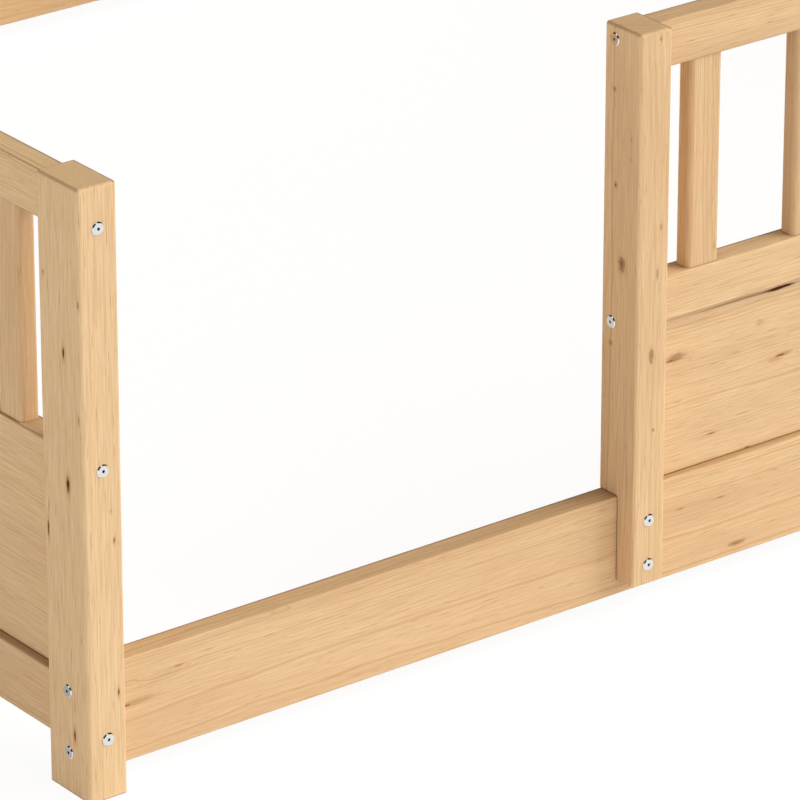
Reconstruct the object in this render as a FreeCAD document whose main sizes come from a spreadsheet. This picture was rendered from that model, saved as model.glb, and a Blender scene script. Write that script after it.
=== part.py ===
# Floor bed: a low pine frame that stands on the floor round a mattress, with a doorway in its front.
# Millimetres. Z is up, the front faces -Y, and the origin lies on the floor under the middle of the bed.
import FreeCAD, Part
import math
import os
import re
import Sketcher

# Driving dimensions, one cell of the sheet each.
SIZES = {
    # The mattress that lies on the floor inside the frame, and the room left round it.
    "mattress_width": 1372,
    "mattress_length": 1905,
    "mattress_play": 52,
    # Corner posts.
    "post_width": 36.5,
    "post_depth": 57,
    "post_height": 530,
    "post_round": 3,
    # Door post, lapped over the front rail. Its foot hangs clear of the floor.
    "door_post_width": 33.9,
    "door_post_depth": 46.5,
    "door_post_proud": 4.5,
    "door_post_foot": 31.5,
    "entrance_width": 519.1,
    # Rails, all of one thickness and set in the middle of the posts.
    "rail_thickness": 23,
    "rail_ease": 1.5,
    "top_rail_height": 41.6,
    "top_rail_drop": 3.5,
    "mid_rail_height": 40,
    "mid_rail_level": 257,
    "front_rail_height": 92,
    "front_rail_level": 17,
    "side_rail_height": 55.2,
    "side_rail_level": 39.3,
    # Thin panels, held in grooves.
    "panel_thickness": 6,
    "panel_seat": 3,
    "panel_play": 0.3,
    # Slats with stub tenons.
    "slat_width": 34,
    "slat_thickness": 18,
    "slat_round": 5,
    "tenon_length": 10,
    "tenon_shoulder": 4,
    "tenon_play": 0.2,
    "guard_slat_count": 12,
    "side_slat_count": 12,
    "back_slat_count": 17,
    # Bolts with flat disc heads and a hex socket.
    "bolt_diameter": 5,
    "bolt_play": 0.4,
    "bolt_end": 3,
    "head_diameter": 11.4,
    "head_height": 1.2,
    "head_ease": 0.9,
    "socket_flats": 2.6,
    "socket_depth": 2,
    # Barrel nuts in the rail ends, and insert nuts behind the lap.
    "nut_diameter": 8,
    "nut_length": 14,
    "nut_setback": 28,
    "nut_play": 0.15,
    "thread_play": 0.1,
    "insert_diameter": 8,
    "insert_length": 12,
    # Wooden dowels beside the single bolts.
    "dowel_diameter": 6,
    "dowel_in_post": 12,
    "dowel_in_rail": 18,
    "dowel_play": 0.15,
    # Heights of the fixings above and below the middle of what they hold. Those of the side bottom rails sit at
    # the quarters of the rail's height.
    "fixing_offset": 11.6,
    "front_bolt_offset": 27.5,
    "lap_bolt_offset": 20.6,
    "lap_bolt_drop": 1.1,
    # How far a cutting sketch runs past the wood.
    "overrun": 5,
}

# Sizes and levels that follow from the driving ones.
DERIVED = {
    "overall_width": "mattress_length + mattress_play + rail_thickness + post_width",
    "overall_depth": "mattress_width + mattress_play + rail_thickness + post_depth",
    "left_face": "-overall_width / 2",
    "right_face": "overall_width / 2",
    "front_face": "(door_post_proud - overall_depth) / 2",
    "back_face": "front_face + overall_depth",
    "side_inset": "(post_width - rail_thickness) / 2",
    "cross_inset": "(post_depth - rail_thickness) / 2",
    "side_span": "overall_depth - 2 * post_depth",
    "cross_span": "overall_width - 2 * post_width",
    "guard_span": "cross_span - entrance_width - door_post_width",
    "top_rail_level": "post_height - top_rail_drop - top_rail_height",
    "mid_rail_top": "mid_rail_level + mid_rail_height",
    "front_rail_top": "front_rail_level + front_rail_height",
    "side_rail_top": "side_rail_level + side_rail_height",
    "slat_length": "top_rail_level - mid_rail_top",
    "tenon_width": "slat_width - 2 * tenon_shoulder",
    "tenon_thickness": "slat_thickness - 2 * tenon_shoulder",
    "lap_thickness": "door_post_proud + cross_inset",
    "lap_height": "front_rail_top - door_post_foot",
    "bolt_bore": "bolt_diameter + 2 * bolt_play",
    "bolt_reach": "nut_setback + nut_diameter / 2 + bolt_end",
    "dowel_bore": "dowel_diameter + 2 * dowel_play",
    "top_low": "top_rail_level + top_rail_height / 2 - fixing_offset",
    "top_high": "top_low + 2 * fixing_offset",
    "mid_low": "mid_rail_level + mid_rail_height / 2 - fixing_offset",
    "mid_high": "mid_low + 2 * fixing_offset",
    "side_low": "side_rail_level + side_rail_height / 4",
    "side_high": "side_low + side_rail_height / 2",
    "front_low": "front_rail_level + front_rail_height / 2 - front_bolt_offset",
    "front_high": "front_low + 2 * front_bolt_offset",
    "lap_low": "door_post_foot + lap_height / 2 - lap_bolt_drop - lap_bolt_offset",
    "lap_high": "lap_low + 2 * lap_bolt_offset",
}

doc = FreeCAD.newDocument("floor_bed")
sheet = doc.addObject("Spreadsheet::Sheet", "sizes")
pieces = []


def fill_sheet():
    rows = [(name, str(value)) for name, value in SIZES.items()]
    rows += [(name, "=" + formula) for name, formula in DERIVED.items()]
    for row, (name, content) in enumerate(rows, start=1):
        sheet.set(f"A{row}", name)
        sheet.set(f"B{row}", content)
        sheet.setAlias(f"B{row}", name)
    doc.recompute()


def bound(expression):
    """The expression with each size's name pointing at its cell."""
    known = set(SIZES) | set(DERIVED)
    return re.sub(r"[a-z_]+", lambda word: "sizes." + word[0] if word[0] in known else word[0], expression)


def value(expression):
    return float(sheet.evalExpression(bound(expression)))


# Sketching

def new_body(name):
    body = doc.addObject("PartDesign::Body", name)
    body.Label = name
    return body


def new_sketch(body, plane, offset="0"):
    """A sketch on one of the body's own planes, moved along the plane's normal."""
    sketch = body.newObject("Sketcher::SketchObject", body.Name + "_sketch")
    support = next(item for item in body.Origin.OriginFeatures if item.Role == plane)
    sketch.AttachmentSupport = (support, [""])
    sketch.MapMode = "FlatFace"
    if offset != "0":
        sketch.setExpression("AttachmentOffset.Base.z", bound(offset))
    return sketch


def fix_point(sketch, geometry, point, x, y):
    """Ties one point of the sketch to the sheet."""
    for direction, place in (("DistanceX", x), ("DistanceY", y)):
        index = sketch.addConstraint(
            Sketcher.Constraint(direction, -1, 1, geometry, point, value(place)))
        if place != "0":
            sketch.setExpression(f"Constraints[{index}]", bound(place))


def draw_outline(sketch, corners):
    points = [FreeCAD.Vector(value(x), value(y)) for x, y in corners]
    first = sketch.GeometryCount
    count = len(corners)
    for index in range(count):
        sketch.addGeometry(Part.LineSegment(points[index], points[(index + 1) % count]))
    for index in range(count):
        sketch.addConstraint(
            Sketcher.Constraint("Coincident", first + index, 2, first + (index + 1) % count, 1))
        fix_point(sketch, first + index, 1, *corners[index])


def draw_rectangle(sketch, left, low, right, high):
    draw_outline(sketch, [(left, low), (right, low), (right, high), (left, high)])


def draw_circle(sketch, x, y, diameter):
    centre = FreeCAD.Vector(value(x), value(y))
    circle = sketch.addGeometry(Part.Circle(centre, FreeCAD.Vector(0, 0, 1), value(diameter) / 2))
    fix_point(sketch, circle, 3, x, y)
    index = sketch.addConstraint(Sketcher.Constraint("Diameter", circle, value(diameter)))
    sketch.setExpression(f"Constraints[{index}]", bound(diameter))


# Features

def pad(body, sketch, length, symmetric=False):
    feature = body.newObject("PartDesign::Pad", body.Name + "_pad")
    feature.Profile = sketch
    feature.Midplane = symmetric
    feature.setExpression("Length", bound(length))
    doc.recompute()
    return feature


def pocket(body, sketch, depth=None, flipped=False, symmetric=False):
    """A cut from the sketch, right through where no depth is given."""
    before = body.Shape.Volume
    feature = body.newObject("PartDesign::Pocket", body.Name + "_pocket")
    feature.Profile = sketch
    feature.Reversed = flipped
    feature.Midplane = symmetric
    if depth:
        feature.setExpression("Length", bound(depth))
    else:
        feature.Type = "ThroughAll"
    doc.recompute()
    if not body.Shape.Volume < before:
        raise RuntimeError(f"{feature.Name} cuts nothing from {body.Label}")
    return feature


def fillet(body, base, radius, chosen):
    """Rounds the edges of the base feature that the test picks."""
    feature = body.newObject("PartDesign::Fillet", body.Name + "_round")
    names = [f"Edge{index}" for index, edge in enumerate(base.Shape.Edges, start=1) if chosen(edge)]
    feature.Base = (base, names)
    feature.setExpression("Radius", bound(radius))
    doc.recompute()


def runs_along(edge, axis):
    start, end = edge.Vertexes
    return (end.Point - start.Point).normalize().cross(axis).Length < math.sin(math.radians(1))


X_AXIS = FreeCAD.Vector(1, 0, 0)
Z_AXIS = FreeCAD.Vector(0, 0, 1)


# Placing

def place(item, x, y, z, turn=0):
    item.Placement = FreeCAD.Placement(FreeCAD.Vector(), FreeCAD.Rotation(Z_AXIS, turn))
    for axis, position in (("x", x), ("y", y), ("z", z)):
        item.setExpression(f"Placement.Base.{axis}", bound(position))


class Side:
    """One side of the bed between two posts, measured along its rails and in from their outer faces."""

    # Which way along and in point, as factors on X and Y, for each turn about Z.
    DIRECTIONS = {0: (1, 0), 90: (0, 1), 180: (-1, 0), -90: (0, -1)}

    def __init__(self, name, turn, start_x, start_y, span, post_pass):
        self.name = name
        self.turn = turn
        self.start = (start_x, start_y)
        self.span = span
        self.post_pass = post_pass

    def put(self, item, along, inward, level, far_end=False):
        """Places an item on this side, turned to face back along it where it belongs to the far end."""
        c, s = self.DIRECTIONS[self.turn]
        x = f"({self.start[0]}) + {c} * ({along}) - {s} * ({inward})"
        y = f"({self.start[1]}) + {s} * ({along}) + {c} * ({inward})"
        place(item, x, y, level, self.turn + (180 if far_end else 0))


FRONT = Side("front", 0, "left_face + post_width", "front_face + cross_inset", "cross_span", "post_width")
GUARD = Side("guard", 0, "right_face - post_width - guard_span", "front_face + cross_inset", "guard_span",
             "post_width")
BACK = Side("back", 180, "right_face - post_width", "back_face - cross_inset", "cross_span", "post_width")
LEFT = Side("left", -90, "left_face + side_inset", "back_face - post_depth", "side_span", "post_depth")
RIGHT = Side("right", 90, "right_face - side_inset", "front_face + post_depth", "side_span", "post_depth")

# The rails of each side: name, height, level, bolt lines and dowel lines. Bolts that cross in a corner
# post run on different lines.
BOLTS, DOWELS = 3, 4
SIDE_RAILS = [
    ("top_rail", "top_rail_height", "top_rail_level", ["top_low"], ["top_high"]),
    ("mid_rail", "mid_rail_height", "mid_rail_level", ["mid_high"], ["mid_low"]),
    ("bottom_rail", "side_rail_height", "side_rail_level", ["side_low"], ["side_high"]),
]
CROSS_UPPER_RAILS = [
    ("top_rail", "top_rail_height", "top_rail_level", ["top_high"], ["top_low"]),
    ("mid_rail", "mid_rail_height", "mid_rail_level", ["mid_low"], ["mid_high"]),
]
CROSS_BOTTOM_RAILS = [
    ("bottom_rail", "front_rail_height", "front_rail_level", ["front_low", "front_high"], []),
]
RAILS_OF_SIDE = {
    FRONT: CROSS_BOTTOM_RAILS,
    GUARD: CROSS_UPPER_RAILS,
    BACK: CROSS_UPPER_RAILS + CROSS_BOTTOM_RAILS,
    LEFT: SIDE_RAILS,
    RIGHT: SIDE_RAILS,
}
SLATS_OF_SIDE = {
    GUARD: "guard_slat_count",
    BACK: "back_slat_count",
    LEFT: "side_slat_count",
    RIGHT: "side_slat_count",
}
LAP_BOLT_LINES = ("lap_low", "lap_high")
# The top of the bottom rail that each side's panel stands in.
PANEL_SILL_OF_SIDE = {
    GUARD: "front_rail_top",
    BACK: "front_rail_top",
    LEFT: "side_rail_top",
    RIGHT: "side_rail_top",
}


# Posts

def bore_post(body, plane, offset, flipped, across, lines, diameter, depth=None):
    """Bores at several heights, in one sketch."""
    sketch = new_sketch(body, plane, offset)
    for line in lines:
        draw_circle(sketch, across, line, diameter)
    pocket(body, sketch, depth, flipped)


def fixing_lines(rails, fixing):
    """The heights of all the bolts, or all the dowels, of a list of rails."""
    return [line for rail in rails for line in rail[fixing]]


def make_corner_post(name, x, y, inner_right, inner_back, cross_rails):
    """A post whose rails meet it on its right or left face and on its back or front face."""
    body = new_body(name)
    section = new_sketch(body, "XY_Plane")
    draw_rectangle(section, "0", "0", "post_width", "post_depth")
    bar = pad(body, section, "post_height")
    top = bar.Shape.BoundBox.ZMax
    fillet(body, bar, "post_round",
           lambda edge: runs_along(edge, Z_AXIS) or edge.BoundBox.ZMin > top - value("post_round"))
    dowel_depth = "dowel_in_post + dowel_play"
    bore_post(body, "YZ_Plane", "0", True, "post_depth / 2", fixing_lines(cross_rails, BOLTS), "bolt_bore")
    bore_post(body, "XZ_Plane", "0", False, "post_width / 2", fixing_lines(SIDE_RAILS, BOLTS), "bolt_bore")
    bore_post(body, "XZ_Plane", "-post_depth" if inner_back else "0", inner_back, "post_width / 2",
              fixing_lines(SIDE_RAILS, DOWELS), "dowel_bore", dowel_depth)
    if fixing_lines(cross_rails, DOWELS):
        bore_post(body, "YZ_Plane", "post_width" if inner_right else "0", not inner_right, "post_depth / 2",
                  fixing_lines(cross_rails, DOWELS), "dowel_bore", dowel_depth)
    place(body, x, y, "0")
    pieces.append(body)


def make_corner_posts():
    right_x = "right_face - post_width"
    back_y = "back_face - post_depth"
    full = RAILS_OF_SIDE[BACK]
    make_corner_post("corner_post_front_left", "left_face", "front_face", True, True, RAILS_OF_SIDE[FRONT])
    make_corner_post("corner_post_front_right", right_x, "front_face", False, True, full)
    make_corner_post("corner_post_back_left", "left_face", back_y, True, False, full)
    make_corner_post("corner_post_back_right", right_x, back_y, False, False, full)


def make_door_post():
    """The post at the side of the doorway: its lower back is cut away, so that it laps over the front rail."""
    body = new_body("door_post")
    profile = new_sketch(body, "YZ_Plane")
    rise = "post_height - door_post_foot"
    draw_outline(profile, [("0", "0"), ("lap_thickness", "0"), ("lap_thickness", "lap_height"),
                           ("door_post_depth", "lap_height"), ("door_post_depth", rise), ("0", rise)])
    bar = pad(body, profile, "door_post_width")
    box = bar.Shape.BoundBox
    near = value("post_round")

    def is_outer(edge):
        outside = edge.BoundBox.YMax < box.YMin + near or edge.BoundBox.YMin > box.YMax - near
        return outside and runs_along(edge, Z_AXIS) or edge.BoundBox.ZMin > box.ZMax - near

    fillet(body, bar, "post_round", is_outer)
    rail_centre = "lap_thickness + rail_thickness / 2"
    bolt_lines = [f"{line} - door_post_foot" for line in fixing_lines(CROSS_UPPER_RAILS, BOLTS)]
    dowel_lines = [f"{line} - door_post_foot" for line in fixing_lines(CROSS_UPPER_RAILS, DOWELS)]
    lap_lines = [f"{line} - door_post_foot" for line in LAP_BOLT_LINES]
    bore_post(body, "YZ_Plane", "0", True, rail_centre, bolt_lines, "bolt_bore")
    bore_post(body, "YZ_Plane", "door_post_width", False, rail_centre, dowel_lines, "dowel_bore",
              "dowel_in_post + dowel_play")
    bore_post(body, "XZ_Plane", "0", False, "door_post_width / 2", lap_lines, "bolt_bore", "lap_thickness")
    place(body, "right_face - post_width - guard_span - door_post_width", "front_face - door_post_proud",
          "door_post_foot")
    pieces.append(body)


# Rails and panels

def bore_rail_ends(body, span, lines, diameter, depth):
    """Bores into the end grain at both ends of a rail."""
    for offset, flipped in (("0", True), (span, False)):
        sketch = new_sketch(body, "YZ_Plane", offset)
        for line in lines:
            draw_circle(sketch, "rail_thickness / 2", line, diameter)
        pocket(body, sketch, depth, flipped)


def bore_for_nuts(body, span, lines):
    """Blind bores for the barrel nuts, drilled from the inner face so that the outer face stays whole."""
    sketch = new_sketch(body, "XZ_Plane", "-rail_thickness")
    for line in lines:
        for along in ("nut_setback", f"{span} - nut_setback"):
            draw_circle(sketch, along, line, "nut_diameter + 2 * nut_play")
    pocket(body, sketch, "(rail_thickness + nut_length) / 2 + nut_play", True)


def cut_groove(body, level, from_below, start, end):
    """A groove along the middle of a rail's edge, for a panel."""
    sketch = new_sketch(body, "XY_Plane", level)
    half = "(panel_thickness / 2 + panel_play)"
    draw_rectangle(sketch, start, f"rail_thickness / 2 - {half}", end, f"rail_thickness / 2 + {half}")
    pocket(body, sketch, "panel_seat + panel_play", from_below)


def cut_mortises(body, level, from_below, span, count):
    """A row of mortises for the slats, one in the middle of each equal share of the span."""
    sketch = new_sketch(body, "XY_Plane", level)
    half_length = "(tenon_width / 2 + tenon_play)"
    half_width = "(tenon_thickness / 2 + tenon_play)"
    first = f"{span} / {count} / 2"
    draw_rectangle(sketch, f"{first} - {half_length}", f"rail_thickness / 2 - {half_width}",
                   f"{first} + {half_length}", f"rail_thickness / 2 + {half_width}")
    mortise = pocket(body, sketch, "tenon_length + tenon_play", from_below)
    row = body.newObject("PartDesign::LinearPattern", body.Name + "_row")
    row.Originals = [mortise]
    row.Direction = (sketch, ["H_Axis"])
    row.setExpression("Length", bound(f"{span} - {span} / {count}"))
    row.setExpression("Occurrences", bound(count))
    body.Tip = row
    doc.recompute()


def make_rail(side, name, height, level, bolts, dowels):
    body = new_body(f"{side.name}_{name}")
    section = new_sketch(body, "YZ_Plane")
    draw_rectangle(section, "0", "0", "rail_thickness", height)
    bar = pad(body, section, side.span)
    fillet(body, bar, "rail_ease", lambda edge: runs_along(edge, X_AXIS))
    bolt_lines = [f"{line} - {level}" for line in bolts]
    bore_rail_ends(body, side.span, bolt_lines, "bolt_bore", "bolt_reach + bolt_play")
    bore_for_nuts(body, side.span, bolt_lines)
    if dowels:
        dowel_lines = [f"{line} - {level}" for line in dowels]
        bore_rail_ends(body, side.span, dowel_lines, "dowel_bore", "dowel_in_rail + dowel_play")
    if name == "mid_rail":
        cut_groove(body, "0", True, "-overrun", f"{side.span} + overrun")
        cut_mortises(body, height, False, side.span, SLATS_OF_SIDE[side])
    elif name == "top_rail":
        cut_mortises(body, "0", True, side.span, SLATS_OF_SIDE[side])
    elif side is FRONT:
        cut_groove(body, height, False, "entrance_width + door_post_width", f"{side.span} + overrun")
        bore_for_inserts(body)
    else:
        cut_groove(body, height, False, "-overrun", f"{side.span} + overrun")
    side.put(body, "0", "0", level)
    pieces.append(body)


def bore_for_inserts(body):
    """Bores in the front rail's face for the insert nuts that hold the door post's lap."""
    sketch = new_sketch(body, "XZ_Plane")
    for line in LAP_BOLT_LINES:
        draw_circle(sketch, "entrance_width + door_post_width / 2", f"{line} - front_rail_level",
                    "insert_diameter + 2 * nut_play")
    pocket(body, sketch, "insert_length + nut_play")


def make_panel(side):
    body = new_body(f"{side.name}_panel")
    sill = PANEL_SILL_OF_SIDE[side]
    face = new_sketch(body, "YZ_Plane")
    draw_rectangle(face, "0", "0", "panel_thickness", f"mid_rail_level - {sill} + 2 * panel_seat")
    pad(body, face, f"{side.span} - 2 * panel_play")
    side.put(body, "panel_play", "(rail_thickness - panel_thickness) / 2", f"{sill} - panel_seat")
    pieces.append(body)


# Slats

def make_slat():
    """One slat, rounded along its edges, with a stub tenon at each end."""
    body = new_body("slat")
    section = new_sketch(body, "XY_Plane")
    draw_rectangle(section, "-slat_width / 2", "-slat_thickness / 2", "slat_width / 2", "slat_thickness / 2")
    bar = pad(body, section, "slat_length")
    fillet(body, bar, "slat_round", lambda edge: runs_along(edge, Z_AXIS))
    tenon = new_sketch(body, "XY_Plane", "-tenon_length")
    draw_rectangle(tenon, "-tenon_width / 2", "-tenon_thickness / 2", "tenon_width / 2", "tenon_thickness / 2")
    pad(body, tenon, "slat_length + 2 * tenon_length")
    return body


def copy_of(body, name):
    link = doc.addObject("App::Link", name)
    link.LinkedObject = body
    link.Label = name
    return link


def group(name, members):
    """Identical pieces that share one node, as separate solids."""
    compound = doc.addObject("Part::Compound", name)
    compound.Label = name
    compound.Links = members
    pieces.append(compound)


def make_slats(slat):
    for side, count in SLATS_OF_SIDE.items():
        row = []
        for number in range(1, SIZES[count] + 1):
            copy = copy_of(slat, f"{side.name}_slat_{number}")
            along = f"{side.span} / {count} * ({number} - 1 / 2)"
            side.put(copy, along, "rail_thickness / 2", "mid_rail_top")
            row.append(copy)
        if side in (RIGHT, BACK):
            group(f"{side.name}_slats", row)
        else:
            pieces.extend(row)


# Fixings

def make_bolt(name, length):
    """A bolt along X whose head seats at the origin."""
    body = new_body(name)
    half = new_sketch(body, "XY_Plane")
    rim = "head_diameter / 2"
    draw_outline(half, [("-head_height", "0"), (length, "0"), (length, "bolt_diameter / 2"),
                        ("0", "bolt_diameter / 2"), ("0", rim), ("head_ease - head_height", rim),
                        ("-head_height", f"{rim} - head_ease")])
    turned = body.newObject("PartDesign::Revolution", name + "_turned")
    turned.Profile = half
    turned.ReferenceAxis = (half, ["H_Axis"])
    doc.recompute()
    socket = new_sketch(body, "YZ_Plane", "-head_height")
    corner_shares = [(math.cos(math.radians(turn)), math.sin(math.radians(turn))) for turn in range(0, 360, 60)]
    draw_outline(socket, [(f"{across:.6f} * socket_flats / sqrt(3)", f"{up:.6f} * socket_flats / sqrt(3)")
                          for across, up in corner_shares])
    pocket(body, socket, "socket_depth", True)
    return body


def make_barrel_nut():
    """A barrel across the rail, threaded through its middle."""
    body = new_body("barrel_nut")
    barrel = new_sketch(body, "XZ_Plane")
    draw_circle(barrel, "0", "0", "nut_diameter")
    pad(body, barrel, "nut_length", symmetric=True)
    thread = new_sketch(body, "YZ_Plane")
    draw_circle(thread, "0", "0", "bolt_diameter + 2 * thread_play")
    pocket(body, thread, symmetric=True)
    return body


def make_insert_nut():
    """A threaded sleeve along X that sits flush in the face of the front rail."""
    body = new_body("insert_nut")
    sleeve = new_sketch(body, "YZ_Plane")
    draw_circle(sleeve, "0", "0", "insert_diameter")
    draw_circle(sleeve, "0", "0", "bolt_diameter + 2 * thread_play")
    pad(body, sleeve, "insert_length")
    return body


def make_dowel():
    """A dowel along X that crosses the joint at the origin."""
    body = new_body("dowel")
    rod = new_sketch(body, "YZ_Plane", "-dowel_in_post")
    draw_circle(rod, "0", "0", "dowel_diameter")
    pad(body, rod, "dowel_in_post + dowel_in_rail")
    return body


def rail_ends(side):
    """Both ends of a side: whether it is the far one, where the rail ends, the way out and the way in."""
    return [(False, "0", "-", "+"), (True, side.span, "+", "-")]


def make_fixings():
    post_bolts = {
        "side_rail_bolts": (make_bolt("side_rail_bolt", "post_depth + bolt_reach"), []),
        "cross_rail_bolts": (make_bolt("cross_rail_bolt", "post_width + bolt_reach"), []),
        "door_post_bolts": (make_bolt("door_post_bolt", "door_post_width + bolt_reach"), []),
    }
    nut, nuts = make_barrel_nut(), []
    dowel, dowels = make_dowel(), []
    for side, rails in RAILS_OF_SIDE.items():
        for far_end, end, outward, inward in rail_ends(side):
            node, post_pass = "cross_rail_bolts", side.post_pass
            if side in (LEFT, RIGHT):
                node = "side_rail_bolts"
            elif side is GUARD and not far_end:
                node, post_pass = "door_post_bolts", "door_post_width"
            bolt, bolts = post_bolts[node]
            for line in fixing_lines(rails, BOLTS):
                bolts.append(copy_of(bolt, f"{bolt.Name}_{len(bolts) + 1}"))
                side.put(bolts[-1], f"{end} {outward} {post_pass}", "rail_thickness / 2", line, far_end)
                nuts.append(copy_of(nut, f"barrel_nut_{len(nuts) + 1}"))
                side.put(nuts[-1], f"{end} {inward} nut_setback", "rail_thickness / 2", line, far_end)
            for line in fixing_lines(rails, DOWELS):
                dowels.append(copy_of(dowel, f"dowel_{len(dowels) + 1}"))
                side.put(dowels[-1], end, "rail_thickness / 2", line, far_end)
    for node, (bolt, bolts) in post_bolts.items():
        group(node, bolts)
    group("barrel_nuts", nuts)
    group("wooden_dowels", dowels)


def make_lap_fixings():
    """The two bolts through the door post's lap, and the insert nuts in the rail behind it."""
    bolt = make_bolt("lap_bolt", "lap_thickness + insert_length - bolt_end")
    nut = make_insert_nut()
    middle = "right_face - post_width - guard_span - door_post_width / 2"
    bolts, nuts = [], []
    for number, line in enumerate(LAP_BOLT_LINES, start=1):
        bolts.append(copy_of(bolt, f"lap_bolt_{number}"))
        place(bolts[-1], middle, "front_face - door_post_proud", line, 90)
        nuts.append(copy_of(nut, f"insert_nut_{number}"))
        place(nuts[-1], middle, "front_face + cross_inset", line, 90)
    group("lap_bolts", bolts)
    group("insert_nuts", nuts)


def check_and_export():
    doc.recompute()
    for item in doc.Objects:
        if {"Invalid", "Error"} & set(item.State):
            raise RuntimeError(f"{item.Label} failed to build: {item.State}")
    shapes = {item.Label: Part.getShape(item) for item in pieces}
    for name, shape in shapes.items():
        if shape.isNull() or not shape.isValid():
            raise RuntimeError(f"{name} has no valid shape")
    os.makedirs("parts", exist_ok=True)
    for name, shape in shapes.items():
        shape.exportStep(f"parts/{name}.step")
    print(len(shapes), "nodes,", sum(len(shape.Solids) for shape in shapes.values()), "solids")


fill_sheet()
make_corner_posts()
make_door_post()
for bed_side, side_rails in RAILS_OF_SIDE.items():
    for rail in side_rails:
        make_rail(bed_side, *rail)
for bed_side in PANEL_SILL_OF_SIDE:
    make_panel(bed_side)
make_slats(make_slat())
make_fixings()
make_lap_fixings()
check_and_export()
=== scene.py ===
# Floor bed: the looks of a pale pine frame that stands round a mattress on the floor.
# Metres, Z up, the front faces -Y. Patterns are worked out in millimetres of the board they lie on.
import bpy
import math
import random
from mathutils import Euler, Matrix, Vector


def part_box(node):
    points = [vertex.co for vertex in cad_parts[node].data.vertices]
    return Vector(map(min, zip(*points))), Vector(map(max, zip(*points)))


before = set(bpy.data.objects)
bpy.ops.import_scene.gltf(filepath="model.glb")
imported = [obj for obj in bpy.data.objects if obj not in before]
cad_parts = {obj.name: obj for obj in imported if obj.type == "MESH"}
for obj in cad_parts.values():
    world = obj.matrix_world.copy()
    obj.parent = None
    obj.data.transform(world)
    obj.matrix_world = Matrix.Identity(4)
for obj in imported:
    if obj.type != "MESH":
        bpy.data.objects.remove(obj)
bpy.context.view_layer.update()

MM_PER_M = 1000


def srgb(hex_code):
    """The linear colour of an sRGB hex code."""
    channels = [int(hex_code[start:start + 2], 16) / 255 for start in (1, 3, 5)]
    return [c / 12.92 if c <= 0.04045 else ((c + 0.055) / 1.055) ** 2.4 for c in channels] + [1.0]


def add(tree, kind, inputs=None, **settings):
    """Adds a node. Its settings come by name, and each input is a value or another node's output."""
    node = tree.nodes.new(kind)
    for name, setting in settings.items():
        setattr(node, name, setting)
    for socket, value in (inputs or {}).items():
        if isinstance(value, bpy.types.NodeSocket):
            tree.links.new(value, node.inputs[socket])
        else:
            node.inputs[socket].default_value = value
    return node


def new_group(name, inputs, outputs):
    """An empty node group with its sockets. Returns the tree, its input node and its output node."""
    tree = bpy.data.node_groups.new(name, "ShaderNodeTree")
    for socket, kind in inputs:
        tree.interface.new_socket(socket, in_out="INPUT", socket_type=kind)
    for socket in outputs:
        tree.interface.new_socket(socket, in_out="OUTPUT", socket_type="NodeSocketFloat")
    return tree, tree.nodes.new("NodeGroupInput"), tree.nodes.new("NodeGroupOutput")


def new_material(name):
    """A new material, with its node tree and its shader."""
    material = bpy.data.materials.new(name)
    material.use_nodes = True
    return material, material.node_tree, material.node_tree.nodes["Principled BSDF"]


# Pine, sanded and unfinished. It is cut from a log, so its rings are cylinders round a pith that wanders.
# Each ring goes from pale early wood slowly to a thin darker late line, and ends sharply there.
RING_SPACING = 2.5
# The pith wanders this far sideways over this length of the log.
PITH_WANDER = 26
PITH_WANDER_LENGTH = 700
# Streaks in the wood: their size along the grain and both ways across it, and the finer steps they hold.
STREAKS = {
    "Long Wave": ((190, 52, 52), 1),
    "Short Wave": ((42, 9, 9), 1),
    "Fibre": ((34, 0.6, 0.6), 1),
    "Fleck": ((15, 0.8, 0.8), 0),
    "Tone": ((320, 26, 26), 2),
}
# How far the waves push the rings.
WAVE_PUSH = {"Long Wave": 8, "Short Wave": 2.4}
# Wide and narrow years come in spells of about this much growth, which shift the rings by up to this many.
SPELL_GROWTH = 16
SPELL_RINGS = 3.5
# The shares of a ring at which late wood begins and is darkest, and how dark the faintest year is. The
# higher the power of chance, the rarer are strong years.
LATE_START = 0.4
LATE_PEAK = 0.9
FAINTEST_YEAR = 0.15
YEAR_POWER = 3
# Sets the streaks of a board apart from each other.
SEED_STEP = 17.3


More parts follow.
